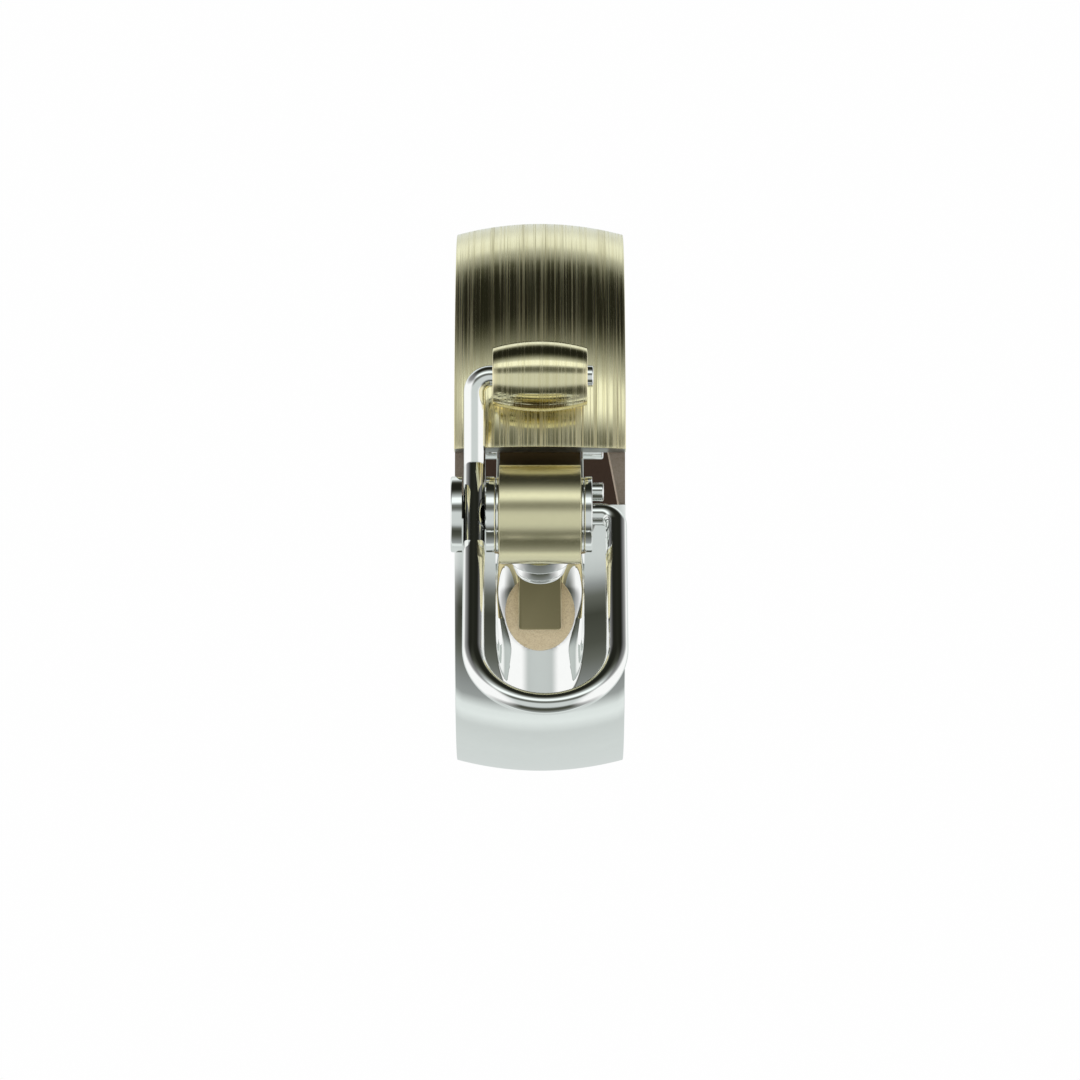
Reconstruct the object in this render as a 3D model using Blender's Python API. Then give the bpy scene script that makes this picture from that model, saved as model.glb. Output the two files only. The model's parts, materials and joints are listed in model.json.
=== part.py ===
"""Round two-piece clasp ring: a brass half and a chrome half, hinged behind and held by a wire bail.

Metres, +Z up. The ring's axis is X, its front faces -Y, and the origin is the ring's centre.
Places on the ring are polar: an angle above the front, and a radius from the ring's axis.
"""
import math

import bmesh
import bpy
from mathutils import Vector

MM = 0.001

# Driving dimensions
OUTER_RADIUS = 25.0 * MM
BAND_WIDTH = 15.1 * MM
CROWN_RISE = 1.0 * MM
WALL = 2.7 * MM
LINER_THICKNESS = 1.0 * MM
WIRE_RADIUS = 0.95 * MM
DRUM_RADIUS = 4.3 * MM
DRUM_HALF_LENGTH = 3.54 * MM

# Clearances
FIXED_GAP = 0.04 * MM
RUNNING_GAP = 0.1 * MM
MOVING_GAP = 0.3 * MM

# The band and its split
HALF_WIDTH = BAND_WIDTH / 2
INNER_RADIUS = OUTER_RADIUS - WALL
LINER_OUTER = INNER_RADIUS - RUNNING_GAP
LINER_INNER = LINER_OUTER - LINER_THICKNESS
LINER_HALF_WIDTH = HALF_WIDTH - 0.05 * MM
UPPER_FRONT_ANGLE = 9.85
LOWER_FRONT_ANGLE = -1.9
REAR_SPLIT_ANGLE = 0.4
UPPER_LINER_FRONT_ANGLE = -4.3
LOWER_LINER_FRONT_ANGLE = -5.2
LINER_REAR_SETBACK = 0.5

# The lining's opening behind the lever, wide enough for its pins and wider towards the lining's end
OPENING_HALF_WIDTH = 6.73 * MM
OPENING_TAPER = 0.1715
OPENING_TOP = 7.6 * MM
OPENING_BOTTOM = -3.0 * MM

# The rear hinge
KNUCKLE_RADIUS = 1.5 * MM
HINGE_PIN_RADIUS = 0.7 * MM
REAR_HINGE_RADIUS = OUTER_RADIUS - 0.4 * MM
MIDDLE_KNUCKLE_HALF = 2.5 * MM
KNUCKLE_END = HALF_WIDTH - 0.4 * MM
HINGE_PIN_OVERHANG = 0.3 * MM

# The barrel that the bail turns in, fixed to the upper half
BARREL_ANGLE = 21.7
BARREL_RADIUS = 3.1 * MM
BARREL_END_RADIUS = 2.5 * MM
BARREL_HALF_LENGTH = 4.15 * MM
BARREL_DISTANCE = OUTER_RADIUS + BARREL_RADIUS + RUNNING_GAP
WIRE_BORE_RADIUS = WIRE_RADIUS + RUNNING_GAP

# The lever's axle and the bail, whose legs lean out from the ring as they go down past the axle
AXLE_ANGLE = -3.24
AXLE_DISTANCE = OUTER_RADIUS + DRUM_RADIUS + MOVING_GAP
BAIL_LEAN = 41.0
BAIL_REACH = 21.4 * MM
KINK_REACH = 5.67 * MM
LEFT_LEG_X = -5.72 * MM
RIGHT_LEG_X = 6.61 * MM
WIRE_STUB_X = BARREL_HALF_LENGTH + 0.52 * MM
WIRE_TIP_X = 2.6 * MM
TOP_BEND_RADIUS = 1.4 * MM
KINK_BEND_RADIUS = 1.05 * MM
SIDE_BEND_RADIUS = 1.3 * MM

# The lever: discs, side plates, pins, boss and tongue, which leans in towards the ring
DISC_RADIUS = 3.3 * MM
PLATE_THICKNESS = 0.24 * MM
PLATE_INNER_X = DRUM_HALF_LENGTH + FIXED_GAP
DISC_INNER_X = PLATE_INNER_X + PLATE_THICKNESS + FIXED_GAP
RIGHT_DISC_OUTER_X = 4.53 * MM
SLOT_HALF_WIDTH = WIRE_RADIUS + RUNNING_GAP
CLEVIS_OUTER_X = -7.76 * MM
SLEEVE_RADIUS = 1.7 * MM
SLEEVE_BORE = WIRE_BORE_RADIUS
SLEEVE_LEFT_X = LEFT_LEG_X + SLOT_HALF_WIDTH + FIXED_GAP
SLEEVE_RIGHT_X = RIGHT_DISC_OUTER_X - 0.1 * MM
LEVER_TURN = 45.0
HOOK_PIN_RADIUS = 0.6 * MM
STOP_PIN_RADIUS = 0.82 * MM
PIN_HALF_LENGTH = 5.6 * MM
PIN_CHAMFER = 0.18 * MM
HOOK_PIN_PLACE = (19.7 * MM, 3.85 * MM)
STOP_PIN_PLACE = (24.0 * MM, 0.32 * MM)
PLATE_AXLE_RADIUS = DISC_RADIUS - FIXED_GAP
PLATE_RIM = 0.45 * MM
BLOCK_RIM = 0.35 * MM
TONGUE_LEAN = 38.0
BOSS_START = 3.4 * MM
BOSS_FLANGE_RADIUS = 2.85 * MM
BOSS_RADIUS = 2.35 * MM
BOSS_END = 6.05 * MM
FLANGE_END = 4.45 * MM
FLANGE_BEVEL = 0.2 * MM
BOSS_SHOULDERS = ((0.45 * MM, 0.0), (0.12 * MM, 0.15 * MM), (0.0, 0.5 * MM))
TONGUE_WIDTH = 3.75 * MM
TONGUE_THICKNESS = 0.8 * MM
TONGUE_SETBACK = 1.0 * MM
TONGUE_END = 13.75 * MM
TONGUE_CORNER = 0.3 * MM

# The recess, its window and the notch for the side plates and the boss, all in the lower half
RECESS_HALF_WIDTH = 3.87 * MM
RECESS_TOP = -5.95 * MM
RECESS_BOTTOM = -20.4 * MM
RECESS_LEAN = 14.0
RECESS_RUNOUT = (-16.26 * MM, -19.0 * MM)
RECESS_FLOOR_RADIUS = INNER_RADIUS + 1.1 * MM
RECESS_UPPER_DEPTH = 1.35 * MM
RECESS_BLEND = (-14.2 * MM, -11.0 * MM)
WINDOW_HALF_WIDTH = 3.08 * MM
WINDOW_HALF_HEIGHT = 3.43 * MM
WINDOW_CENTRE = -10.3 * MM
NOTCH_HALF_WIDTH = 4.05 * MM
NOTCH_BOTTOM = -5.1 * MM
BOSS_NOTCH_HALF_WIDTH = 3.6 * MM
BOSS_NOTCH_BOTTOM = -6.05 * MM

# How finely the round pieces are faceted
BAND_STEPS = 40
CROWN_STEPS = 8
TURNED_STEPS = 40
DRUM_STEPS = 48
SMALL_STEPS = 24
RECESS_STEPS = 20
WINDOW_STEPS = 32
CORNER_STEPS = 4


def polar(angle, radius):
    """The (y, z) of a place on the ring, from its angle in degrees above the front."""
    turn = math.radians(angle)
    return Vector((-radius * math.cos(turn), radius * math.sin(turn)))


BARREL_AXIS = polar(BARREL_ANGLE, BARREL_DISTANCE)
AXLE_AXIS = polar(AXLE_ANGLE, AXLE_DISTANCE)
LEG_DIRECTION = Vector((math.sin(math.radians(BAIL_LEAN)), math.cos(math.radians(BAIL_LEAN))))
TONGUE_DIRECTION = Vector((math.sin(math.radians(TONGUE_LEAN)), -math.cos(math.radians(TONGUE_LEAN))))
REAR_AXIS = polar(180.0, REAR_HINGE_RADIUS)
HOOK_PIN_AXIS = Vector((-HOOK_PIN_PLACE[0], HOOK_PIN_PLACE[1])) - AXLE_AXIS
STOP_PIN_AXIS = Vector((-STOP_PIN_PLACE[0], STOP_PIN_PLACE[1])) - AXLE_AXIS


def clear_scene():
    for item in list(bpy.data.objects):
        bpy.data.objects.remove(item, do_unlink=True)


def material(name, color, metallic, roughness):
    made = bpy.data.materials.new(name)
    made.use_nodes = True
    shader = made.node_tree.nodes["Principled BSDF"]
    shader.inputs["Base Color"].default_value = (*color, 1.0)
    shader.inputs["Metallic"].default_value = metallic
    shader.inputs["Roughness"].default_value = roughness
    return made


def axis_empty(name, place):
    """An empty on a joint's axis, which that joint's pieces are parented to."""
    empty = bpy.data.objects.new(name, None)
    empty.location = (0.0, place[0], place[1])
    bpy.context.collection.objects.link(empty)
    return empty


def finish_mesh(name, bm):
    bmesh.ops.remove_doubles(bm, verts=bm.verts, dist=1e-7)
    bmesh.ops.recalc_face_normals(bm, faces=bm.faces)
    mesh = bpy.data.meshes.new(name)
    bm.to_mesh(mesh)
    bm.free()
    return mesh


def add_object(name, mesh, parent, finish=None):
    made = bpy.data.objects.new(name, mesh)
    bpy.context.collection.objects.link(made)
    made.parent = parent
    if finish is not None:
        mesh.materials.append(finish)
        mesh.shade_smooth()
        mesh.set_sharp_from_angle(angle=math.radians(30.0))
    return made


def combine(target, tool, operation):
    """Cut, join or trim a piece with another, which is then only a guide."""
    tool.hide_render = True
    tool.display_type = "WIRE"
    boolean = target.modifiers.new(tool.name, "BOOLEAN")
    boolean.operation = operation
    boolean.solver = "EXACT"
    boolean.object = tool


def ring_sector(name, profile, start, end, steps):
    """Sweep a closed (x, radius) profile about the ring's axis from one angle to another."""
    bm = bmesh.new()
    rows = []
    for step in range(steps + 1):
        angle = start + (end - start) * step / steps
        row = []
        for x, radius in profile:
            y, z = polar(angle, radius)
            row.append(bm.verts.new((x, y, z)))
        rows.append(row)
    count = len(profile)
    for row, after in zip(rows, rows[1:]):
        for index in range(count):
            other = (index + 1) % count
            bm.faces.new((row[index], row[other], after[other], after[index]))
    bm.faces.new(rows[0])
    bm.faces.new(rows[-1])
    return finish_mesh(name, bm)


def turned(name, profile, steps=TURNED_STEPS, place=(0.0, 0.0)):
    """Turn a closed (x, radius) profile about a line along X through place."""
    bm = bmesh.new()
    verts = [bm.verts.new((x, place[0], place[1] + radius)) for x, radius in profile]
    edges = [bm.edges.new((verts[i], verts[(i + 1) % len(verts)])) for i in range(len(verts))]
    bmesh.ops.spin(
        bm, geom=verts + edges, cent=(0.0, *place), axis=(1.0, 0.0, 0.0),
        angle=math.tau, steps=steps, use_merge=True)
    return finish_mesh(name, bm)


def rod_profile(start, end, radius, chamfer=0.0):
    if chamfer == 0.0:
        return [(start, 0.0), (start, radius), (end, radius), (end, 0.0)]
    return [
        (start, 0.0), (start, radius - chamfer), (start + chamfer, radius),
        (end - chamfer, radius), (end, radius - chamfer), (end, 0.0)]


def rod(name, start, end, radius, place=(0.0, 0.0), steps=SMALL_STEPS, chamfer=0.0):
    """A solid round bar along X. Its ends meet the axis, so the profile is left open there."""
    bm = bmesh.new()
    profile = rod_profile(start, end, radius, chamfer)
    verts = [bm.verts.new((x, place[0], place[1] + r)) for x, r in profile]
    edges = [bm.edges.new(pair) for pair in zip(verts, verts[1:])]
    bmesh.ops.spin(
        bm, geom=verts + edges, cent=(0.0, *place), axis=(1.0, 0.0, 0.0),
        angle=math.tau, steps=steps, use_merge=True)
    return finish_mesh(name, bm)


def tube_profile(start, end, radius, bore):
    return [(start, bore), (start, radius), (end, radius), (end, bore)]


def prism_x(name, outline, start, end):
    """Extrude a (y, z) outline along X."""
    bm = bmesh.new()
    near = [bm.verts.new((start, y, z)) for y, z in outline]
    face = bm.faces.new(near)
    grown = bmesh.ops.extrude_face_region(bm, geom=[face])
    moved = [item for item in grown["geom"] if isinstance(item, bmesh.types.BMVert)]
    bmesh.ops.translate(bm, verts=moved, vec=(end - start, 0.0, 0.0))
    return finish_mesh(name, bm)


def prism_y(name, outline, start, end):
    """Extrude an (x, z) outline along Y."""
    bm = bmesh.new()
    near = [bm.verts.new((x, start, z)) for x, z in outline]
    face = bm.faces.new(near)
    grown = bmesh.ops.extrude_face_region(bm, geom=[face])
    moved = [item for item in grown["geom"] if isinstance(item, bmesh.types.BMVert)]
    bmesh.ops.translate(bm, verts=moved, vec=(0.0, end - start, 0.0))
    return finish_mesh(name, bm)


def arc_points(centre, radius, start, end, steps):
    """Points on an arc in a plane, by angles in degrees."""
    points = []
    for step in range(steps + 1):
        turn = math.radians(start + (end - start) * step / steps)
        points.append(Vector((centre[0] + radius * math.cos(turn), centre[1] + radius * math.sin(turn))))
    return points


def link_outline(circles, steps=7):
    """The outline of flat links that join circles in a chain, tangent to each of them.

    Each circle is (centre, radius). The chain is walked out along one side and back along the other.
    A bend's outer side follows its circle, and its inner side is where the two tangents cross.
    """
    walk = circles + circles[-2:0:-1]
    count = len(walk)
    normals = []
    for index in range(count):
        (first, first_radius), (second, second_radius) = walk[index], walk[(index + 1) % count]
        along = second - first
        heading = math.atan2(along.y, along.x)
        lean = math.acos((first_radius - second_radius) / along.length)
        normals.append(heading - lean)
    outline = []
    for index in range(count):
        centre, radius = walk[index]
        before = normals[index - 1]
        turn = (normals[index] - before) % math.tau
        if turn <= math.pi + 1e-6 or index in (0, len(circles) - 1):
            angles = (math.degrees(before), math.degrees(before + turn))
            outline.extend(arc_points(centre, radius, *angles, steps))
        else:
            middle = before + (turn - math.tau) / 2
            reach = radius / math.cos((turn - math.tau) / 2)
            outline.append(centre + reach * Vector((math.cos(middle), math.sin(middle))))
    return outline


def rounded_path(corners, steps_per_turn=28):
    """A path through corners, each (point, bend radius), with an arc at each bend."""
    path = [corners[0][0]]
    for index in range(1, len(corners) - 1):
        point, radius = corners[index]
        back = (corners[index - 1][0] - point).normalized()
        ahead = (corners[index + 1][0] - point).normalized()
        turn = math.pi - back.angle(ahead)
        setback = radius * math.tan(turn / 2)
        centre = point + (back + ahead).normalized() * radius / math.cos(turn / 2)
        start = point + back * setback - centre
        sideways = -back
        steps = max(3, round(steps_per_turn * turn / math.tau))
        for step in range(steps + 1):
            part = turn * step / steps
            place = centre + start * math.cos(part) + sideways * radius * math.sin(part)
            if (place - path[-1]).length > FIXED_GAP:
                path.append(place)
    path.append(corners[-1][0])
    return path


def wire(name, path, radius, parent, finish):
    curve = bpy.data.curves.new(name, "CURVE")
    curve.dimensions = "3D"
    curve.bevel_depth = radius
    curve.bevel_resolution = 4
    curve.render_resolution_u = 0
    curve.use_fill_caps = True
    spline = curve.splines.new("POLY")
    spline.points.add(len(path) - 1)
    for point, place in zip(spline.points, path):
        point.co = (*place, 1.0)
    curve.materials.append(finish)
    made = bpy.data.objects.new(name, curve)
    bpy.context.collection.objects.link(made)
    made.parent = parent
    return made


def band_profile():
    """The half ring's section: a crowned outside, flat sides and a straight inside."""
    outside = []
    for step in range(CROWN_STEPS + 1):
        across = -1.0 + 2.0 * step / CROWN_STEPS
        outside.append((across * HALF_WIDTH, OUTER_RADIUS - CROWN_RISE * across * across))
    return outside + [(HALF_WIDTH, INNER_RADIUS), (-HALF_WIDTH, INNER_RADIUS)]


def liner_profile():
    return [
        (-LINER_HALF_WIDTH, LINER_INNER), (-LINER_HALF_WIDTH, LINER_OUTER),
        (LINER_HALF_WIDTH, LINER_OUTER), (LINER_HALF_WIDTH, LINER_INNER)]


def opening_cutter():
    """The lining's opening behind the lever, seen through the gap between the two halves."""
    outline = []
    for side, level in ((-1, OPENING_BOTTOM), (1, OPENING_BOTTOM), (1, OPENING_TOP), (-1, OPENING_TOP)):
        outline.append((side * (OPENING_HALF_WIDTH - OPENING_TAPER * level), level))
    return add_object("opening_cutter", prism_y("opening_cutter", outline, -OUTER_RADIUS, 0.0), None)


def cut_hinge_seat(shell):
    """Clear the knuckles with a round seat across the half ring's rear end."""
    mesh = rod(shell.name + "_hinge_seat", -BAND_WIDTH, BAND_WIDTH, KNUCKLE_RADIUS + RUNNING_GAP, REAR_AXIS)
    combine(shell, add_object(mesh.name, mesh, None), "DIFFERENCE")


def build_upper_half(root, brass, leather, steel):
    rear = 180.0 - REAR_SPLIT_ANGLE
    mesh = ring_sector("upper_shell", band_profile(), UPPER_FRONT_ANGLE, rear, BAND_STEPS)
    shell = add_object("upper_shell", mesh, root, brass)
    cut_hinge_seat(shell)
    mesh = ring_sector(
        "upper_liner", liner_profile(), UPPER_LINER_FRONT_ANGLE, rear - LINER_REAR_SETBACK, BAND_STEPS)
    liner = add_object("upper_liner", mesh, root, leather)
    combine(liner, opening_cutter(), "DIFFERENCE")
    build_barrel(root, brass)
    for side, name in ((-1, "hinge_knuckle_left"), (1, "hinge_knuckle_right")):
        ends = sorted((side * (MIDDLE_KNUCKLE_HALF + RUNNING_GAP), side * KNUCKLE_END))
        profile = tube_profile(*ends, KNUCKLE_RADIUS, HINGE_PIN_RADIUS + FIXED_GAP)
        add_object(name, turned(name, profile, SMALL_STEPS, REAR_AXIS), root, brass)
    reach = KNUCKLE_END + HINGE_PIN_OVERHANG
    mesh = rod("rear_hinge_pin", -reach, reach, HINGE_PIN_RADIUS, REAR_AXIS, chamfer=PIN_CHAMFER)
    add_object("rear_hinge_pin", mesh, root, steel)


def build_barrel(root, brass):
    """A crowned barrel on the crown of the upper half, bored for the wire."""
    outside = []
    for step in range(CROWN_STEPS + 1):
        across = -1.0 + 2.0 * step / CROWN_STEPS
        drop = (BARREL_RADIUS - BARREL_END_RADIUS) * across * across
        outside.append((across * BARREL_HALF_LENGTH, BARREL_RADIUS - drop))
    bore = [(BARREL_HALF_LENGTH, WIRE_BORE_RADIUS), (-BARREL_HALF_LENGTH, WIRE_BORE_RADIUS)]
    mesh = turned("bail_barrel", outside + bore, TURNED_STEPS, BARREL_AXIS)
    add_object("bail_barrel", mesh, root, brass)


def recess_floor(z):
    """The y of the recess's deepest line at a height, and the depth of its half-elliptical section.

    Low down it is a straight half-round scoop that leans in and runs out through the belly.
    Higher up it follows the band, to leave a thin wall, and the two run into each other.
    """
    share = min(1.0, max(0.0, (z - RECESS_BLEND[0]) / (RECESS_BLEND[1] - RECESS_BLEND[0])))
    share = share * share * (3.0 - 2.0 * share)
    scoop = RECESS_RUNOUT[0] - (z - RECESS_RUNOUT[1]) * math.tan(math.radians(RECESS_LEAN))
    band = -math.sqrt(RECESS_FLOOR_RADIUS ** 2 - z * z)
    depth = RECESS_HALF_WIDTH + (RECESS_UPPER_DEPTH - RECESS_HALF_WIDTH) * share
    return scoop + (band - scoop) * share, depth


def recess_cutter():
    """A scoop lofted from level sections, each a half ellipse with straight walls in front."""
    bm = bmesh.new()
    front = -OUTER_RADIUS - WALL
    rows = []
    for step in range(RECESS_STEPS + 1):
        z = RECESS_BOTTOM + (RECESS_TOP - RECESS_BOTTOM) * step / RECESS_STEPS
        floor, depth = recess_floor(z)
        section = [(-RECESS_HALF_WIDTH, front), (RECESS_HALF_WIDTH, front)]
        for turn in range(RECESS_STEPS + 1):
            angle = math.pi * turn / RECESS_STEPS
            section.append((
                RECESS_HALF_WIDTH * math.cos(angle), floor - depth + depth * math.sin(angle)))
        rows.append([bm.verts.new((x, y, z)) for x, y in section])
    count = len(rows[0])
    for row, after in zip(rows, rows[1:]):
        for index in range(count):
            other = (index + 1) % count
            bm.faces.new((row[index], row[other], after[other], after[index]))
    bm.faces.new(rows[0])
    bm.faces.new(rows[-1])
    return add_object("recess_cutter", finish_mesh("recess_cutter", bm), None)


def window_cutter():
    outline = []
    for step in range(WINDOW_STEPS):
        turn = math.tau * step / WINDOW_STEPS
        outline.append((
            WINDOW_HALF_WIDTH * math.cos(turn), WINDOW_CENTRE + WINDOW_HALF_HEIGHT * math.sin(turn)))
    return add_object("window_cutter", prism_y("window_cutter", outline, -OUTER_RADIUS - WALL, 0.0), None)


def notch_cutter():
    """Room for the side plates in the lower half's front end, and below them for the boss."""
    half_outline = [
        (NOTCH_HALF_WIDTH, WALL), (NOTCH_HALF_WIDTH, NOTCH_BOTTOM),
        (BOSS_NOTCH_HALF_WIDTH, NOTCH_BOTTOM), (BOSS_NOTCH_HALF_WIDTH, BOSS_NOTCH_BOTTOM)]
    outline = half_outline + [(-x, z) for x, z in reversed(half_outline)]
    return add_object("notch_cutter", prism_y("notch_cutter", outline, -OUTER_RADIUS - WALL, 0.0), None)


def build_lower_half(root, rear_hinge, chrome, leather):
    mesh = ring_sector(
        "lower_shell", band_profile(), -180.0 + REAR_SPLIT_ANGLE, LOWER_FRONT_ANGLE, BAND_STEPS)
    shell = add_object("lower_shell", mesh, rear_hinge, chrome)
    shell.matrix_parent_inverse = rear_hinge.matrix_basis.inverted()
    cut_hinge_seat(shell)
    for cutter in (recess_cutter(), window_cutter(), notch_cutter()):
        combine(shell, cutter, "DIFFERENCE")
    mesh = ring_sector(
        "lower_liner", liner_profile(), -180.0 + REAR_SPLIT_ANGLE + LINER_REAR_SETBACK,
        LOWER_LINER_FRONT_ANGLE, BAND_STEPS)
    liner = add_object("lower_liner", mesh, rear_hinge, leather)
    liner.matrix_parent_inverse = rear_hinge.matrix_basis.inverted()
    half = MIDDLE_KNUCKLE_HALF
    profile = tube_profile(-half, half, KNUCKLE_RADIUS, HINGE_PIN_RADIUS + FIXED_GAP)
    mesh = turned("hinge_knuckle_middle", profile, SMALL_STEPS)
    add_object("hinge_knuckle_middle", mesh, rear_hinge, chrome)


def build_bail(bail_axis, steel):
    """One bent wire, from its stub right of the barrel to its tip inside the lever's sleeve."""
    axle = AXLE_AXIS - BARREL_AXIS
    kink = axle + LEG_DIRECTION * KINK_REACH
    bottom = axle - LEG_DIRECTION * BAIL_REACH
    loop_radius = (RIGHT_LEG_X - LEFT_LEG_X) / 2
    corners = [
        (Vector((WIRE_STUB_X, 0.0, 0.0)), 0.0),
        (Vector((LEFT_LEG_X, 0.0, 0.0)), TOP_BEND_RADIUS),
        (Vector((LEFT_LEG_X, *kink)), KINK_BEND_RADIUS),
        (Vector((LEFT_LEG_X, *bottom)), loop_radius),
        (Vector((RIGHT_LEG_X, *bottom)), loop_radius),
        (Vector((RIGHT_LEG_X, *axle)), SIDE_BEND_RADIUS),
        (Vector((WIRE_TIP_X, *axle)), 0.0)]
    wire("bail_wire", rounded_path(corners), WIRE_RADIUS, bail_axis, steel)


def slot_cutter(lever_axis):
    """The clevis's slot: all of its middle but a web that the wire stays clear of as the lever turns."""
    rest = math.atan2(LEG_DIRECTION.y, LEG_DIRECTION.x)
    final = rest + math.radians(LEVER_TURN) + math.pi
    keep = SLOT_HALF_WIDTH
    half_turn = math.radians(180.0 - LEVER_TURN) / 2
    apex_angle = rest - half_turn
    apex = Vector((math.cos(apex_angle), math.sin(apex_angle))) * keep / math.sin(half_turn)
    reach = 2.5 * DISC_RADIUS
    first = apex + reach * Vector((math.cos(rest), math.sin(rest)))
    last = apex + reach * Vector((math.cos(final), math.sin(final)))
    start = math.degrees(rest) + 20.0
    end = math.degrees(final) - 20.0
    outline = [apex, first] + arc_points((0.0, 0.0), reach, start, end, 8) + [last]
    left = LEFT_LEG_X - SLOT_HALF_WIDTH
    right = LEFT_LEG_X + SLOT_HALF_WIDTH
    return add_object("slot_cutter", prism_x("slot_cutter", outline, left, right), lever_axis)


def build_discs(lever_axis, chrome):
    mesh = rod("wire_clevis", CLEVIS_OUTER_X, -DISC_INNER_X, DISC_RADIUS, steps=TURNED_STEPS)
    clevis = add_object("wire_clevis", mesh, lever_axis, chrome)
    combine(clevis, slot_cutter(lever_axis), "DIFFERENCE")
    bore = rod("clevis_bore", SLEEVE_LEFT_X - RUNNING_GAP, 0.0, SLEEVE_RADIUS + FIXED_GAP)
    combine(clevis, add_object("clevis_bore", bore, lever_axis), "DIFFERENCE")
    profile = tube_profile(DISC_INNER_X, RIGHT_DISC_OUTER_X, DISC_RADIUS, SLEEVE_RADIUS + FIXED_GAP)
    add_object("end_disc", turned("end_disc", profile), lever_axis, chrome)


def build_drum(lever_axis, brass, steel):
    profile = tube_profile(-DRUM_HALF_LENGTH, DRUM_HALF_LENGTH, DRUM_RADIUS, SLEEVE_RADIUS + FIXED_GAP)
    add_object("drum", turned("drum", profile, DRUM_STEPS), lever_axis, brass)
    profile = tube_profile(SLEEVE_LEFT_X, SLEEVE_RIGHT_X, SLEEVE_RADIUS, SLEEVE_BORE)
    add_object("axle_sleeve", turned("axle_sleeve", profile, SMALL_STEPS), lever_axis, steel)


def bore_for_pins(piece, lever_axis, start, end, holes):
    for index, (place, radius) in enumerate(holes):
        name = f"{piece.name}_bore_{index}"
        mesh = rod(name, start - MM, end + MM, radius + FIXED_GAP, place)
        combine(piece, add_object(name, mesh, lever_axis), "DIFFERENCE")


def build_side_plates(lever_axis, steel, dark):
    hook = (HOOK_PIN_AXIS, HOOK_PIN_RADIUS)
    stop = (STOP_PIN_AXIS, STOP_PIN_RADIUS)
    circles = [
        (Vector((0.0, 0.0)), PLATE_AXLE_RADIUS),
        (STOP_PIN_AXIS, STOP_PIN_RADIUS + PLATE_RIM),
        (HOOK_PIN_AXIS, HOOK_PIN_RADIUS + PLATE_RIM)]
    outline = link_outline(circles)
    for side, name in ((-1, "side_plate_left"), (1, "side_plate_right")):
        ends = sorted((side * PLATE_INNER_X, side * (PLATE_INNER_X + PLATE_THICKNESS)))
        plate = add_object(name, prism_x(name, outline, *ends), lever_axis, steel)
        bore_for_pins(plate, lever_axis, *ends, [hook, stop, (Vector((0.0, 0.0)), SLEEVE_RADIUS)])
    circles = [
        (STOP_PIN_AXIS, STOP_PIN_RADIUS + BLOCK_RIM),
        (HOOK_PIN_AXIS, HOOK_PIN_RADIUS + BLOCK_RIM)]
    ends = (-DRUM_HALF_LENGTH, DRUM_HALF_LENGTH)
    block = add_object("spacer_block", prism_x("spacer_block", link_outline(circles), *ends), lever_axis, dark)
    bore_for_pins(block, lever_axis, *ends, [hook, stop])
    for name, (place, radius) in (("hook_pin", hook), ("stop_pin", stop)):
        mesh = rod(name, -PIN_HALF_LENGTH, PIN_HALF_LENGTH, radius, place, chamfer=PIN_CHAMFER)
        add_object(name, mesh, lever_axis, steel)


def build_tongue(lever_axis, chrome, brass):
    """A turned boss on the drum along TONGUE_DIRECTION, and a flat tongue on its side next to the ring."""
    pointing = axis_empty("tongue_direction", (0.0, 0.0))
    pointing.parent = lever_axis
    pointing.rotation_euler = (math.atan2(TONGUE_DIRECTION.y, TONGUE_DIRECTION.x), 0.0, 0.0)
    bm = bmesh.new()
    profile = [
        (BOSS_START, 0.0), (BOSS_START, BOSS_FLANGE_RADIUS), (FLANGE_END, BOSS_FLANGE_RADIUS),
        (FLANGE_END + FLANGE_BEVEL, BOSS_RADIUS)]
    profile += [(BOSS_END - back, BOSS_RADIUS - step) for back, step in BOSS_SHOULDERS]
    profile.append((BOSS_END, 0.0))
    verts = [bm.verts.new((radius, along, 0.0)) for along, radius in profile]
    edges = [bm.edges.new(pair) for pair in zip(verts, verts[1:])]
    bmesh.ops.spin(
        bm, geom=verts + edges, cent=(0.0, 0.0, 0.0), axis=(0.0, 1.0, 0.0),
        angle=math.tau, steps=TURNED_STEPS, use_merge=True)
    boss = add_object("tongue_boss", finish_mesh("tongue_boss", bm), pointing, chrome)
    seat = rod("boss_seat", -DRUM_RADIUS * 2, DRUM_RADIUS * 2, DRUM_RADIUS + FIXED_GAP, steps=DRUM_STEPS)
    combine(boss, add_object("boss_seat", seat, lever_axis), "DIFFERENCE")
    half = TONGUE_WIDTH / 2
    start = BOSS_END + FIXED_GAP
    corner = TONGUE_CORNER
    outline = [(-half, start), (half, start)]
    outline += arc_points((half - corner, TONGUE_END - corner), corner, 0.0, 90.0, CORNER_STEPS)
    outline += arc_points((corner - half, TONGUE_END - corner), corner, 90.0, 180.0, CORNER_STEPS)
    bm = bmesh.new()
    near = [bm.verts.new((x, along, TONGUE_SETBACK)) for x, along in outline]
    grown = bmesh.ops.extrude_face_region(bm, geom=[bm.faces.new(near)])
    moved = [item for item in grown["geom"] if isinstance(item, bmesh.types.BMVert)]
    bmesh.ops.translate(bm, verts=moved, vec=(0.0, 0.0, TONGUE_THICKNESS))
    add_object("tongue", finish_mesh("tongue", bm), pointing, brass)


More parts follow.
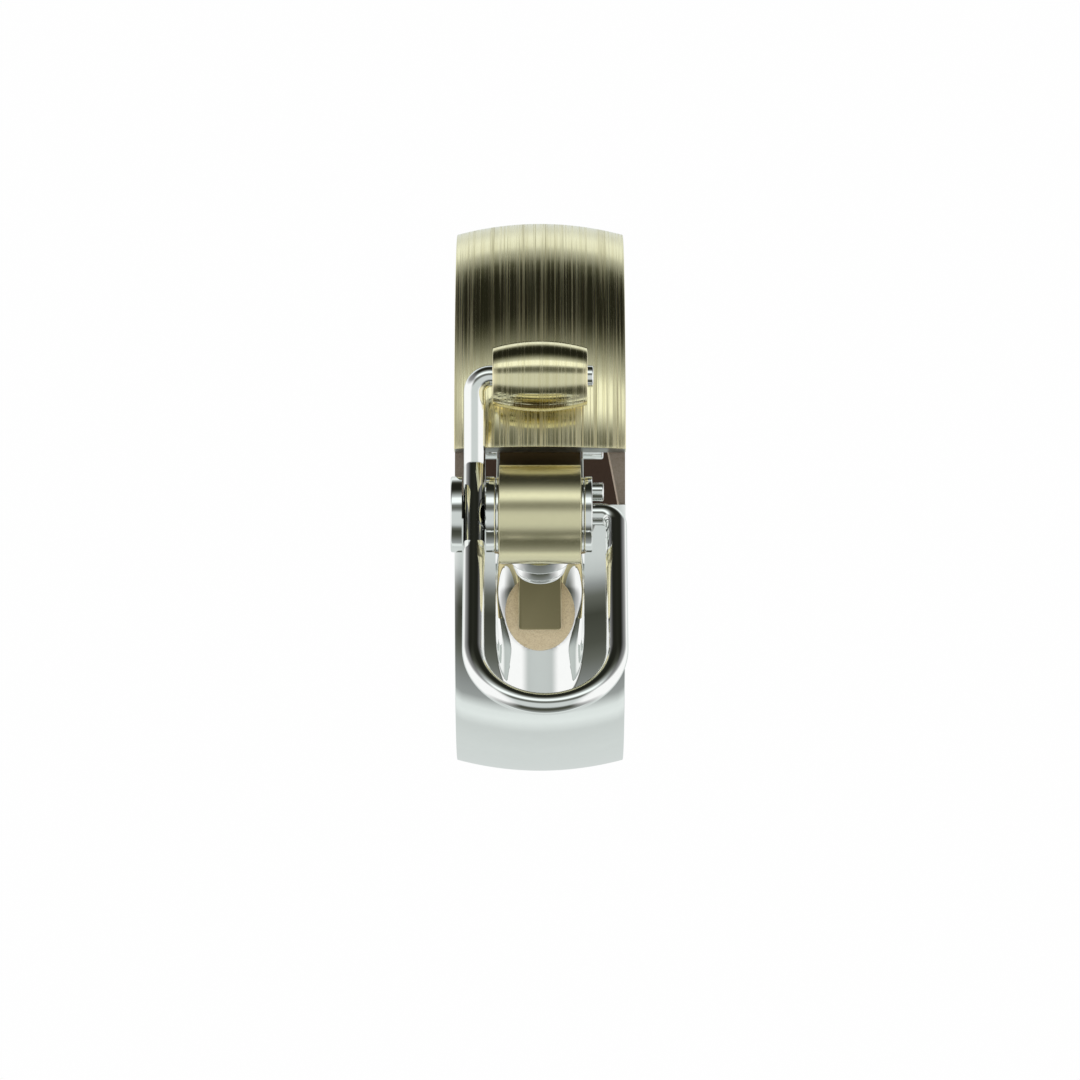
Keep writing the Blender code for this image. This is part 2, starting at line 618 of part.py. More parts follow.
def build():
    clear_scene()
    brass = material("brushed_brass", (0.62, 0.58, 0.36), 1.0, 0.32)
    chrome = material("polished_chrome", (0.78, 0.80, 0.79), 1.0, 0.12)
    steel = material("polished_steel", (0.74, 0.75, 0.74), 1.0, 0.1)
    dark = material("dark_bronze", (0.12, 0.1, 0.06), 1.0, 0.45)
    leather = material("tan_leather", (0.5, 0.38, 0.24), 0.0, 0.8)
    ring = axis_empty("ring_axis", (0.0, 0.0))
    rear_hinge = axis_empty("rear_hinge_axis", REAR_AXIS)
    bail_axis = axis_empty("bail_axis", BARREL_AXIS)
    lever_axis = axis_empty("lever_axis", AXLE_AXIS)
    build_upper_half(ring, brass, leather, steel)
    build_lower_half(ring, rear_hinge, chrome, leather)
    build_bail(bail_axis, steel)
    build_discs(lever_axis, chrome)
    build_drum(lever_axis, brass, steel)
    build_side_plates(lever_axis, steel, dark)
    build_tongue(lever_axis, chrome, brass)


build()
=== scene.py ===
"""The looks of the hinged clasp ring: fine metal surfaces, leather lining, studio light and camera.

Metres, in the row's frame: the ring's axis is X, its front faces -Y, and the origin is the ring's centre.
"""
import json
import math

import bmesh
import bpy
from mathutils import Matrix, Vector


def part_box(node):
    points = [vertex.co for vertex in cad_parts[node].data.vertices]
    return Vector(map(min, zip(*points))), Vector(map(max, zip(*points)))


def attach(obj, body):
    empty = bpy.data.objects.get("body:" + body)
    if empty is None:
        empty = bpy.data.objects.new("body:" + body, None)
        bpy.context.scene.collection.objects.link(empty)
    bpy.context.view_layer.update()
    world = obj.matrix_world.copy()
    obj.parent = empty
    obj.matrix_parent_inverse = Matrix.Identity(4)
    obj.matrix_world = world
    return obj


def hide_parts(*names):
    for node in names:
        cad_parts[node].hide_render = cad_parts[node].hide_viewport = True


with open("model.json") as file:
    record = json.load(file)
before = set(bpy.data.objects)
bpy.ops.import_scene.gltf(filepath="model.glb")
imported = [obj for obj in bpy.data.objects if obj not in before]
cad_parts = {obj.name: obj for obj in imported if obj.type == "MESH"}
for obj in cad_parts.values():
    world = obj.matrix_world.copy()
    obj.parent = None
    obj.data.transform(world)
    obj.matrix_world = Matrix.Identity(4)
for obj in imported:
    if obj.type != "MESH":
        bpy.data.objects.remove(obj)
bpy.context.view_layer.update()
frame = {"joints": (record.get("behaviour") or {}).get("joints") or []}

MM = 0.001
joint_places = {joint["name"]: Vector(joint["pos_m"]) for joint in frame["joints"]}
BARREL_AXIS = joint_places["bail_swing"]
AXLE_AXIS = joint_places["lever_turn"]
REAR_AXIS = joint_places["halves_open"]


def size_of(node):
    low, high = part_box(node)
    return high - low


def middle_of(node):
    low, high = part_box(node)
    return (low + high) / 2


# ---------------------------------------------------------------- meshes

SHARP_ANGLE = math.radians(32.0)


def add_piece(name, mesh, material, body, nodes, place=(0.0, 0.0, 0.0), turn=0.0):
    """Link a piece, give it its finish, and let it stand for CAD nodes on its body."""
    piece = bpy.data.objects.new(name, mesh)
    bpy.context.scene.collection.objects.link(piece)
    piece.location = place
    piece.rotation_euler = (turn, 0.0, 0.0)
    mesh.materials.append(material)
    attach(piece, body)
    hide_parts(*nodes)
    return piece


def finish_mesh(name, bm):
    bmesh.ops.remove_doubles(bm, verts=bm.verts, dist=1e-7)
    bmesh.ops.recalc_face_normals(bm, faces=bm.faces)
    mesh = bpy.data.meshes.new(name)
    bm.to_mesh(mesh)
    bm.free()
    mesh.shade_smooth()
    mesh.set_sharp_from_angle(angle=SHARP_ANGLE)
    return mesh


def rounded(corners, steps=5):
    """Round the corners of an outline or a profile. Each corner is (x, y, radius)."""
    points = []
    count = len(corners)
    for index, (x, y, radius) in enumerate(corners):
        here = Vector((x, y))
        if radius == 0.0:
            points.append(here)
            continue
        back = Vector(corners[index - 1][:2]) - here
        ahead = Vector(corners[(index + 1) % count][:2]) - here
        turn = math.pi - back.angle(ahead)
        if turn < 1e-3:
            points.append(here)
            continue
        back.normalize()
        ahead.normalize()
        centre = here + (back + ahead).normalized() * radius / math.cos(turn / 2)
        start = here + back * radius * math.tan(turn / 2) - centre
        for step in range(steps + 1):
            part = turn * step / steps
            points.append(centre + start * math.cos(part) - back * radius * math.sin(part))
    return points


def turned(name, profile, steps=128, closed=True):
    """Turn an (x, radius) profile about the X axis. An open profile's ends lie on the axis."""
    bm = bmesh.new()
    rings = []
    for x, radius in profile:
        if radius < 1e-9:
            rings.append([bm.verts.new((x, 0.0, 0.0))])
            continue
        ring = []
        for step in range(steps):
            angle = math.tau * step / steps
            ring.append(bm.verts.new((x, radius * math.cos(angle), radius * math.sin(angle))))
        rings.append(ring)
    pairs = list(zip(rings, rings[1:]))
    if closed:
        pairs.append((rings[-1], rings[0]))
    for one, two in pairs:
        for step in range(steps):
            after = (step + 1) % steps
            corners = [one[step % len(one)], one[after % len(one)]]
            corners += [two[after % len(two)], two[step % len(two)]]
            corners = list(dict.fromkeys(corners))
            if len(corners) > 2:
                bm.faces.new(corners)
    return finish_mesh(name, bm)


def rod_profile(start, end, radius, edge, steps=4):
    corners = [(start, 0.0, 0.0), (start, radius, edge), (end, radius, edge), (end, 0.0, 0.0)]
    return rounded(corners, steps)


def tube_profile(start, end, radius, bore, edge, bore_edge=0.0, steps=4):
    corners = [(start, bore, bore_edge), (start, radius, edge), (end, radius, edge), (end, bore, bore_edge)]
    return rounded(corners, steps)


def loft(name, rows):
    """Join rows of points into one skin, with both ends capped."""
    bm = bmesh.new()
    made = [[bm.verts.new(point) for point in row] for row in rows]
    count = len(made[0])
    for row, after in zip(made, made[1:]):
        for index in range(count):
            other = (index + 1) % count
            bm.faces.new((row[index], row[other], after[other], after[index]))
    bm.faces.new(made[0])
    bm.faces.new(made[-1])
    return finish_mesh(name, bm)


def inset(outline, distance):
    """A closed outline with each point moved inwards by a distance."""
    if distance == 0.0:
        return outline
    doubled_area = sum(before.cross(here) for before, here in zip([outline[-1]] + outline, outline))
    side = math.copysign(1.0, doubled_area)
    moved = []
    for index, here in enumerate(outline):
        back = (here - outline[index - 1]).normalized()
        ahead = (outline[(index + 1) % len(outline)] - here).normalized()
        along = (back + ahead).normalized()
        inwards = Vector((-along.y, along.x)) * side
        moved.append(here + inwards * distance / max(0.5, along.dot(ahead)))
    return moved


def rim_levels(start, end, edge, middle_steps=1, rim_steps=4):
    """(place, inset) pairs along a sweep whose two rims are rounded."""
    near = []
    for step in range(rim_steps + 1):
        angle = math.pi / 2 * step / rim_steps
        near.append((start + edge * (1 - math.sin(angle)), edge * (1 - math.cos(angle))))
    far = [(start + end - place, amount) for place, amount in near]
    first = near[0][0]
    length = far[0][0] - first
    middle = [(first + length * step / middle_steps, 0.0) for step in range(1, middle_steps)]
    return near[::-1] + middle + far


def prism(name, outline, start, end, edge, put):
    """Sweep an outline straight, with rounded rims. put(along, point) gives each place."""
    levels = rim_levels(start, end, edge)
    return loft(name, [[put(along, point) for point in inset(outline, amount)] for along, amount in levels])


def along_x(along, point):
    return (along, point.x, point.y)


def along_y(along, point):
    return (point.x, along, point.y)


def along_z(along, point):
    return (point.x, point.y, along)


def arc_points(centre, radius, start, end, steps):
    """Points on an arc, from a start to an end angle in radians."""
    points = []
    for step in range(steps + 1):
        angle = start + (end - start) * step / steps
        points.append(centre + radius * Vector((math.cos(angle), math.sin(angle))))
    return points


def link_outline(circles, steps=20):
    """The outline of flat links that join (centre, radius) circles in a chain, tangent to each of them."""
    walk = circles + circles[-2:0:-1]
    normals = []
    for index, (first, first_radius) in enumerate(walk):
        second, second_radius = walk[(index + 1) % len(walk)]
        along = second - first
        lean = math.acos((first_radius - second_radius) / along.length)
        normals.append(math.atan2(along.y, along.x) - lean)
    outline = []
    for index, (centre, radius) in enumerate(walk):
        before = normals[index - 1]
        turn = (normals[index] - before) % math.tau
        if turn <= math.pi + 1e-6 or index in (0, len(circles) - 1):
            outline.extend(arc_points(centre, radius, before, before + turn, steps))
        else:
            half_turn = (turn - math.tau) / 2
            middle = Vector((math.cos(before + half_turn), math.sin(before + half_turn)))
            outline.append(centre + middle * radius / math.cos(half_turn))
    return outline


def rounded_path(corners, step_angle=math.radians(3.0)):
    """A path through corners, each (point, bend radius), with an arc at each bend."""
    path = [corners[0][0]]
    for index in range(1, len(corners) - 1):
        point, radius = corners[index]
        back = (corners[index - 1][0] - point).normalized()
        ahead = (corners[index + 1][0] - point).normalized()
        turn = math.pi - back.angle(ahead)
        centre = point + (back + ahead).normalized() * radius / math.cos(turn / 2)
        start = point + back * radius * math.tan(turn / 2) - centre
        steps = max(4, round(turn / step_angle))
        for step in range(steps + 1):
            part = turn * step / steps
            place = centre + start * math.cos(part) - back * radius * math.sin(part)
            if (place - path[-1]).length > 0.02 * MM:
                path.append(place)
    path.append(corners[-1][0])
    return path


def wire_mesh(name, path, radius, edge, sides=48, rim_steps=4):
    """A round wire along a path, with its two ends rounded over."""
    tangents = []
    for index in range(len(path)):
        before = path[max(0, index - 1)]
        after = path[min(len(path) - 1, index + 1)]
        tangents.append((after - before).normalized())
    stations = []
    for step in range(rim_steps + 1):
        angle = math.pi / 2 * step / rim_steps
        stations.append((edge * (1 - math.sin(angle)), radius - edge * (1 - math.cos(angle))))
    rows = []
    across = tangents[0].orthogonal().normalized()
    points = [(path[0] + tangents[0] * inwards, tangents[0], size) for inwards, size in stations[::-1]]
    points += [(place, tangent, radius) for place, tangent in list(zip(path, tangents))[1:-1]]
    points += [(path[-1] - tangents[-1] * inwards, tangents[-1], size) for inwards, size in stations]
    for place, tangent, size in points:
        across = (across - tangent * across.dot(tangent)).normalized()
        other = tangent.cross(across)
        row = []
        for side in range(sides):
            angle = math.tau * side / sides
            row.append(place + (across * math.cos(angle) + other * math.sin(angle)) * size)
        rows.append(row)
    return loft(name, rows)


def cut(target_mesh, name, cutters):
    """A copy of a mesh with cutters taken away, made with exact Booleans."""
    scratch = bpy.data.objects.new(name, target_mesh)
    bpy.context.scene.collection.objects.link(scratch)
    tools = []
    for index, mesh in enumerate(cutters):
        tool = bpy.data.objects.new(f"{name}_tool_{index}", mesh)
        bpy.context.scene.collection.objects.link(tool)
        boolean = scratch.modifiers.new(tool.name, "BOOLEAN")
        boolean.operation = "DIFFERENCE"
        boolean.solver = "EXACT"
        boolean.object = tool
        tools.append(tool)
    graph = bpy.context.evaluated_depsgraph_get()
    made = bpy.data.meshes.new_from_object(scratch.evaluated_get(graph))
    for item in [scratch] + tools:
        bpy.data.objects.remove(item, do_unlink=True)
    made.name = name
    made.shade_smooth()
    made.set_sharp_from_angle(angle=SHARP_ANGLE)
    return made


# ---------------------------------------------------------------- materials

BRASS = (0.93, 0.86, 0.57)
CHROME = (0.95, 0.965, 0.95)
WORN_SHARES = (0.9, 0.89, 0.84)
SPECKLE_SHARES = (0.8, 0.76, 0.7)
HAZE_SHARE = 0.96


def new_material(name):
    made = bpy.data.materials.new(name)
    made.use_nodes = True
    tree = made.node_tree
    return made, tree, tree.nodes["Principled BSDF"]


def link(tree, source, target):
    tree.links.new(source, target)


def math_node(tree, operation, first, second=None):
    node = tree.nodes.new("ShaderNodeMath")
    node.operation = operation
    for socket, value in zip(node.inputs, (first, second)):
        if value is None:
            continue
        if isinstance(value, (int, float)):
            socket.default_value = value
        else:
            link(tree, value, socket)
    return node.outputs[0]


def map_range(tree, value, low, high, to_low, to_high):
    node = tree.nodes.new("ShaderNodeMapRange")
    link(tree, value, node.inputs["Value"])
    node.inputs["From Min"].default_value = low
    node.inputs["From Max"].default_value = high
    node.inputs["To Min"].default_value = to_low
    node.inputs["To Max"].default_value = to_high
    return node.outputs["Result"]


def noise(tree, vector, scale, detail=2.0, roughness=0.5):
    node = tree.nodes.new("ShaderNodeTexNoise")
    node.inputs["Scale"].default_value = scale
    node.inputs["Detail"].default_value = detail
    node.inputs["Roughness"].default_value = roughness
    link(tree, vector, node.inputs["Vector"])
    return node.outputs["Fac"]


def mix_color(tree, factor, first, second):
    node = tree.nodes.new("ShaderNodeMix")
    node.data_type = "RGBA"
    link(tree, factor, node.inputs["Factor"])
    for socket, value in ((node.inputs[6], first), (node.inputs[7], second)):
        if isinstance(value, tuple):
            socket.default_value = (*value, 1.0)
        else:
            link(tree, value, socket)
    return node.outputs[2]


def bump(tree, shader, height, distance):
    node = tree.nodes.new("ShaderNodeBump")
    node.inputs["Distance"].default_value = distance
    node.inputs["Strength"].default_value = 1.0
    link(tree, height, node.inputs["Height"])
    link(tree, node.outputs["Normal"], shader.inputs["Normal"])


def round_coordinates(tree, per_metre, per_turn):
    """Coordinates that follow a piece turned about its own X axis: across it, and round it."""
    place = tree.nodes.new("ShaderNodeTexCoord")
    split = tree.nodes.new("ShaderNodeSeparateXYZ")
    link(tree, place.outputs["Object"], split.inputs[0])
    angle = math_node(tree, "ARCTAN2", split.outputs["Z"], split.outputs["Y"])
    joined = tree.nodes.new("ShaderNodeCombineXYZ")
    link(tree, math_node(tree, "MULTIPLY", split.outputs["X"], per_metre), joined.inputs["X"])
    link(tree, math_node(tree, "MULTIPLY", math_node(tree, "COSINE", angle), per_turn), joined.inputs["Y"])
    link(tree, math_node(tree, "MULTIPLY", math_node(tree, "SINE", angle), per_turn), joined.inputs["Z"])
    return joined.outputs[0]


def object_coordinates(tree):
    return tree.nodes.new("ShaderNodeTexCoord").outputs["Object"]


def weighted_sum(tree, first, second, share):
    """Two values added, the first by what the second's share leaves of one."""
    first_part = math_node(tree, "MULTIPLY", first, 1.0 - share)
    return math_node(tree, "ADD", first_part, math_node(tree, "MULTIPLY", second, share))


def brushed_brass(name, color, roughness, streak_width, depth, turn_scale):
    """Metal brushed round a piece's X axis: long streaks, with rougher lines and slightly worn ones.

    The roughness is (lowest, highest, added on the rough lines). A low turn_scale makes long streaks.
    """
    made, tree, shader = new_material(name)
    broad = noise(tree, round_coordinates(tree, 1.0 / (4.0 * streak_width), 1.2 * turn_scale), 1.0, 2.0)
    fine = noise(tree, round_coordinates(tree, 1.0 / streak_width, 2.2 * turn_scale), 1.0, 3.0, 0.65)
    lines = noise(tree, round_coordinates(tree, 0.7 / streak_width, 1.5 * turn_scale), 1.0, 2.0, 0.8)
    streak = weighted_sum(tree, broad, fine, 0.6)
    smooth = map_range(tree, streak, 0.35, 0.65, roughness[0], roughness[1])
    rough = map_range(tree, lines, 0.44, 0.66, 0.0, roughness[2])
    link(tree, math_node(tree, "ADD", smooth, rough), shader.inputs["Roughness"])
    worn = tuple(channel * share for channel, share in zip(color, WORN_SHARES))
    marks = math_node(tree, "SUBTRACT", broad, math_node(tree, "MULTIPLY", fine, 0.5))
    dark = map_range(tree, marks, 0.2, 0.38, 0.0, 1.0)
    link(tree, mix_color(tree, dark, color, worn), shader.inputs["Base Color"])
    shader.inputs["Metallic"].default_value = 1.0
    shader.inputs["Anisotropic"].default_value = 0.8
    shader.inputs["Anisotropic Rotation"].default_value = 0.25
    tangent = tree.nodes.new("ShaderNodeTangent")
    tangent.direction_type = "RADIAL"
    tangent.axis = "X"
    link(tree, tangent.outputs[0], shader.inputs["Tangent"])
    bump(tree, shader, streak, depth)
    return made


def polished(name, color, roughness, wear, grain=900.0):
    """Polished metal with a faint haze that varies its roughness and its colour."""
    made, tree, shader = new_material(name)
    place = object_coordinates(tree)
    haze = noise(tree, place, grain, 4.0, 0.6)
    link(tree, map_range(tree, haze, 0.3, 0.7, roughness, roughness + wear), shader.inputs["Roughness"])
    dull = tuple(channel * HAZE_SHARE for channel in color)
    link(tree, mix_color(tree, haze, color, dull), shader.inputs["Base Color"])
    shader.inputs["Metallic"].default_value = 1.0
    return made


def leather(name, near, far):
    """Matt leather with a fine grain, with painted shade by place: its colour goes from the first one at the
    ring's front to the second at its back, and a darker second colour stands in for the shade deeper inside
    the ring.
    """
    made, tree, shader = new_material(name)
    place = object_coordinates(tree)
    mottle = noise(tree, place, 2500.0, 4.0, 0.7)
    grain = noise(tree, place, 9000.0, 2.0, 0.6)
    split = tree.nodes.new("ShaderNodeSeparateXYZ")
    link(tree, place, split.inputs[0])
    # Painted shade: a blend by place, darker towards the ring's back, in place of the shade inside the ring.
    depth = map_range(tree, split.outputs["Y"], -16.0 * MM, -8.0 * MM, 0.0, 1.0)
    speckle = weighted_sum(tree, mottle, grain, 0.65)
    shade = map_range(tree, speckle, 0.38, 0.56, 0.0, 1.0)
    color = mix_color(tree, depth, near, far)
    dull = tree.nodes.new("ShaderNodeVectorMath")
    dull.operation = "MULTIPLY"
    link(tree, color, dull.inputs[0])
    dull.inputs[1].default_value = SPECKLE_SHARES
    link(tree, mix_color(tree, shade, dull.outputs[0], color), shader.inputs["Base Color"])
    link(tree, map_range(tree, mottle, 0.3, 0.7, 0.65, 0.85), shader.inputs["Roughness"])
    shader.inputs["Specular IOR Level"].default_value = 0.25
    bump(tree, shader, speckle, 0.01 * MM)
    return made


shell_brass = brushed_brass("shell_brass", BRASS, (0.07, 0.14, 0.48), 0.11 * MM, 0.003 * MM, 0.35)
barrel_brass = brushed_brass("barrel_brass", BRASS, (0.05, 0.1, 0.25), 0.1 * MM, 0.001 * MM, 0.12)
drum_brass = polished("drum_brass", BRASS, 0.25, 0.02, 2500.0)
# Painted shade: the tongue's brass is made darker than the rest, standing in for the dark look that the shade
# and reflections round it give it.
tongue_brass = polished("tongue_brass", (0.7, 0.6, 0.34), 0.12, 0.05, 1500.0)
cut_metal = polished("cut_metal", (0.5, 0.52, 0.49), 0.35, 0.1, 1500.0)
satin_chrome = polished("satin_chrome", CHROME, 0.03, 0.03)
bright_chrome = polished("bright_chrome", CHROME, 0.03, 0.02)
bright_steel = polished("bright_steel", (0.93, 0.95, 0.935), 0.04, 0.03)
# Painted shade: the spacer block's near-black colour stands in for the deep shade between the side plates.
dark_bronze = polished("dark_bronze", (0.16, 0.12, 0.06), 0.35, 0.15, 1500.0)
# Painted shade: the lower lining's tan gets darker towards the ring's back.
tan_leather = leather("tan_leather", (0.98, 0.82, 0.56), (0.86, 0.68, 0.43))
# Painted shade: the upper lining is a shaded copy of the same tan leather, much darker and darkest at the
# back, standing in for the shadow in the gap behind the lever.
shaded_leather = leather("shaded_leather", (0.25, 0.21, 0.17), (0.06, 0.036, 0.024))
leather_edge = leather("leather_edge", (0.75, 0.62, 0.52), (0.75, 0.62, 0.52))

# ---------------------------------------------------------------- the ring's two halves

RING_RADIUS = 25.0 * MM
HALF_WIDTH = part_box("upper_shell")[1].x
INNER_RADIUS = RING_RADIUS - 2.7 * MM
CROWN_RISE = 1.0 * MM
CROWN_REACH = 0.92
BAND_EDGE = 0.08 * MM
FRONT_EDGE = 0.06 * MM
LINER_OUTER = INNER_RADIUS - 0.1 * MM
LINER_INNER = LINER_OUTER - 1.0 * MM
LINER_HALF_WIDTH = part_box("upper_liner")[1].x
REAR_SPLIT_ANGLE = 0.4
UPPER_FRONT_ANGLE = 9.85
LOWER_FRONT_ANGLE = -1.9

# The gap between pieces that fit closely
FIT = 0.04 * MM
KNUCKLE_RADIUS = 1.5 * MM
HINGE_PIN_RADIUS = 0.7 * MM

# The recess in the lower half's front, which the tongue lies in, and the window in its floor
RECESS_HALF_WIDTH = 3.87 * MM
RECESS_LEAN = 14.0
RECESS_RUNOUT = (-16.26 * MM, -19.0 * MM)
RECESS_FLOOR_RADIUS = INNER_RADIUS + 1.1 * MM
RECESS_UPPER_DEPTH = 1.35 * MM
RECESS_BLEND = (-13.75 * MM, -8.0 * MM)
RECESS_EDGE = 0.25 * MM
WINDOW_HALF_WIDTH = 3.08 * MM
WINDOW_HALF_HEIGHT = 3.43 * MM
WINDOW_CENTRE = -10.3 * MM
NOTCH_HALF_WIDTH = 4.05 * MM
NOTCH_BOTTOM = -5.1 * MM
BOSS_NOTCH_HALF_WIDTH = 3.6 * MM
BOSS_NOTCH_BOTTOM = -6.05 * MM

# The lining, and its opening behind the lever. Its rear ends meet a little below the hinge.
UPPER_LINER_FRONT_ANGLE = -4.3
LOWER_LINER_FRONT_ANGLE = -5.2
LINER_REAR_ANGLE = 182.2
LINER_REAR_GAP = 0.15
OPENING_HALF_WIDTH = 6.73 * MM
OPENING_TAPER = 0.1715
OPENING_TOP = 7.6 * MM
OPENING_BOTTOM = -3.0 * MM
OPENING_NARROWING = 0.025 / MM
LINER_END_EDGE = 0.05 * MM
LINER_RIM = 0.3 * MM

# How closely a face's normal follows a direction, as a cosine, for it to count as a cut face
SAME_DIRECTION = 0.99
ALMOST_SIDEWAYS = 0.9


def crown_radius(x):
    return RING_RADIUS - CROWN_RISE * (x / HALF_WIDTH) ** 2


def round_ring(along, point):
    """The place of a section's (x, radius) point at a distance along the ring's outer surface."""
    angle = along / RING_RADIUS
    return (point.x, -point.y * math.cos(angle), point.y * math.sin(angle))


def ring_rows(section, start, end, edge, steps):
    """Rows of a section swept round the ring between two angles in degrees, with rounded rims."""
    levels = rim_levels(math.radians(start) * RING_RADIUS, math.radians(end) * RING_RADIUS, edge, steps)
    return [[round_ring(along, point) for point in inset(section, amount)] for along, amount in levels]


def band_section(crown_steps=28):
    shoulder = crown_radius(HALF_WIDTH)
    corners = [(-HALF_WIDTH, INNER_RADIUS, FRONT_EDGE), (-HALF_WIDTH, shoulder, BAND_EDGE)]
    for step in range(1, crown_steps):
        x = HALF_WIDTH * CROWN_REACH * (2.0 * step / crown_steps - 1.0)
        corners.append((x, crown_radius(x), 0.0))
    corners += [(HALF_WIDTH, shoulder, BAND_EDGE), (HALF_WIDTH, INNER_RADIUS, FRONT_EDGE)]
    return rounded(corners)


def liner_section():
    edge = 0.25 * MM
    return rounded([
        (-LINER_HALF_WIDTH, LINER_INNER, edge), (-LINER_HALF_WIDTH, LINER_OUTER, 0.0),
        (LINER_HALF_WIDTH, LINER_OUTER, 0.0), (LINER_HALF_WIDTH, LINER_INNER, edge)])


def hinge_seat():
    profile = rod_profile(-2 * HALF_WIDTH, 2 * HALF_WIDTH, KNUCKLE_RADIUS + 0.1 * MM, 0.0)
    mesh = turned("hinge_seat", profile, 64, False)
    mesh.transform(Matrix.Translation(REAR_AXIS))
    return mesh


def recess_surface(x, z):
    """The y of the recess at a place: a half-elliptical scoop, deep below and shallow above."""
    share = min(1.0, max(0.0, (z - RECESS_BLEND[0]) / (RECESS_BLEND[1] - RECESS_BLEND[0])))
    share = share * share * (3.0 - 2.0 * share)
    scoop = RECESS_RUNOUT[0] - (z - RECESS_RUNOUT[1]) * math.tan(math.radians(RECESS_LEAN))
    band = -math.sqrt(RECESS_FLOOR_RADIUS ** 2 - min(z * z, RECESS_FLOOR_RADIUS ** 2))
    depth = RECESS_HALF_WIDTH + (RECESS_UPPER_DEPTH - RECESS_HALF_WIDTH) * share
    section = math.sqrt(max(0.0, 1.0 - (x / RECESS_HALF_WIDTH) ** 2))
    return scoop + (band - scoop) * share - depth + depth * section


def recess_radius(x, angle):
    """How far from the ring's axis the recess lies at an angle, found by halving the interval."""
    low, high = INNER_RADIUS - 1.0 * MM, RING_RADIUS + 1.0 * MM
    if abs(x) >= RECESS_HALF_WIDTH:
        return high
    for _ in range(22):
        radius = (low + high) / 2
        if -radius * math.cos(angle) < recess_surface(x, radius * math.sin(angle)):
            high = radius
        else:
            low = radius
    return radius


def soft_lower(first, second, width):
    """The lower of two values, with the corner between them rounded over a width."""
    share = min(1.0, max(0.0, 0.5 + 0.5 * (second - first) / width))
    return second + (first - second) * share - width * share * (1.0 - share)


def recess_reach(angle):
    """The half width of the recess's mouth at an angle."""
    low, high = 0.0, RECESS_HALF_WIDTH
    for _ in range(22):
        x = (low + high) / 2
        if recess_radius(x, angle) < crown_radius(x):
            low = x
        else:
            high = x
    return x


def lower_section(angle):
    """The lower half's section at an angle. Its points crowd towards the recess's mouth."""
    shoulder = crown_radius(HALF_WIDTH)
    reach = max(0.4 * MM, recess_reach(angle))
    outer = HALF_WIDTH * CROWN_REACH
    wide = 3 * RECESS_EDGE
    close = min(wide, reach * 0.7)
    places = [outer + (reach + wide - outer) * step / 8 for step in range(8)]
    places += [reach + wide * (1 - step / 8) ** 1.5 for step in range(8)]
    places += [reach - close * (step / 8) ** 1.5 for step in range(8)]
    places += [(reach - close) * math.cos(math.pi / 2 * step / 12) for step in range(12)]
    places += [0.0] + [-x for x in reversed(places)]
    corners = [(HALF_WIDTH, INNER_RADIUS, FRONT_EDGE), (HALF_WIDTH, shoulder, BAND_EDGE)]
    for x in places:
        crown = crown_radius(x)
        corners.append((x, soft_lower(crown, recess_radius(x, angle), RECESS_EDGE), 0.0))
    corners += [(-HALF_WIDTH, shoulder, BAND_EDGE), (-HALF_WIDTH, INNER_RADIUS, FRONT_EDGE)]
    return rounded(corners)


def lower_rows():
    """The lower half's rows, closest together where the recess is."""
    start = math.radians(REAR_SPLIT_ANGLE - 180.0)
    end = math.radians(LOWER_FRONT_ANGLE)
    turn = math.radians(-60.0)
    angles = [start + (turn - start) * step / 100 for step in range(100)]
    angles += [turn + (end - turn) * step / 150 for step in range(150)]
    rows = []
    for angle in angles + [end]:
        rows.append([round_ring(angle * RING_RADIUS, point) for point in lower_section(angle)])
    return rows


def ellipse(half_width, half_height, centre, steps=96):
    points = []
    for step in range(steps):
        angle = math.tau * step / steps
        points.append(Vector((half_width * math.cos(angle), centre + half_height * math.sin(angle))))
    return points


def narrow_with_depth(mesh):
    """Make the lining's opening narrower behind than in front, so that its cut edges show."""
    for vertex in mesh.vertices:
        vertex.co.x *= 1.0 - OPENING_NARROWING * (vertex.co.y + LINER_OUTER)


def build_upper_half():
    rows = ring_rows(band_section(), UPPER_FRONT_ANGLE, 180.0 - REAR_SPLIT_ANGLE, FRONT_EDGE, 180)
    mesh = cut(loft("upper_band", rows), "fine_upper_shell", [hinge_seat()])
    add_piece("fine_upper_shell", mesh, shell_brass, "upper_half", ["upper_shell"])
    mesh.materials.append(cut_metal)
    front_angle = math.radians(UPPER_FRONT_ANGLE)
    front = Vector((0.0, -math.sin(front_angle), -math.cos(front_angle)))
    for face in mesh.polygons:
        if face.center.y < 0.0 and face.normal.dot(front) > SAME_DIRECTION:
            face.material_index = 1

    outline = []
    for side, level in ((-1, OPENING_BOTTOM), (1, OPENING_BOTTOM), (1, OPENING_TOP), (-1, OPENING_TOP)):
        outline.append(Vector((side * (OPENING_HALF_WIDTH - OPENING_TAPER * level), level)))
    opening = prism("opening", outline, -RING_RADIUS, 0.0, 0.0, along_y)
    narrow_with_depth(opening)
    rows = ring_rows(liner_section(), UPPER_LINER_FRONT_ANGLE, LINER_REAR_ANGLE, LINER_END_EDGE, 120)
    mesh = cut(loft("upper_lining", rows), "fine_upper_liner", [opening])
    # The upper lining gets the leather with the painted shade.
    add_piece("fine_upper_liner", mesh, shaded_leather, "upper_half", ["upper_liner"])
    mesh.materials.append(leather_edge)
    for face in mesh.polygons:
        if abs(face.normal.x) > ALMOST_SIDEWAYS and abs(face.center.x) < LINER_HALF_WIDTH - LINER_RIM:
            face.material_index = 1


